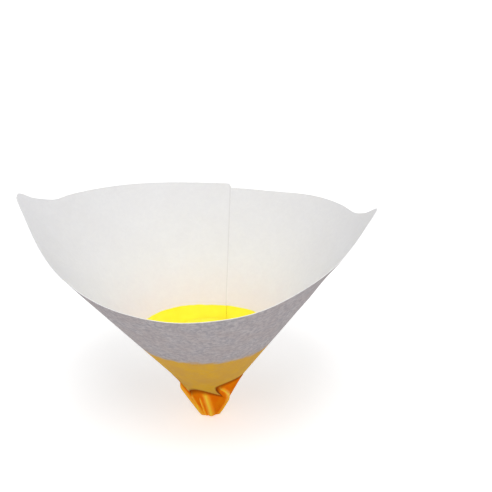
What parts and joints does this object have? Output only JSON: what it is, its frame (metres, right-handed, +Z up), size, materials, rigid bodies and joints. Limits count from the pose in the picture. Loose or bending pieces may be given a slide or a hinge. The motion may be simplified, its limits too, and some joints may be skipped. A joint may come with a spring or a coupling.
{
  "type": "paper cone paint strainer",
  "caption": "Used disposable strainer: creased paper cone, opened to an eared oval mouth, with a paint-soaked nylon gauze tip showing through windows cut in its lower end",
  "frame": {"origin": "on the cone's axis, at the level where the cone sits in the mouth of a can", "axes": "+Z is up along the cone's axis with the tip down, +X runs to the right crease, the plain front layer faces -Y and the glued lap lies at +Y"},
  "size_m": [0.1907, 0.1338, 0.1391],
  "materials": {
    "paper": "matt, faintly fibrous, stained by paint at the lower end",
    "gauze": "fine nylon weave soaked with glossy paint"
  },
  "bodies": {
    "root": {"paper_cone": "paper", "mesh_filter": "gauze"}
  },
  "joints": []
}
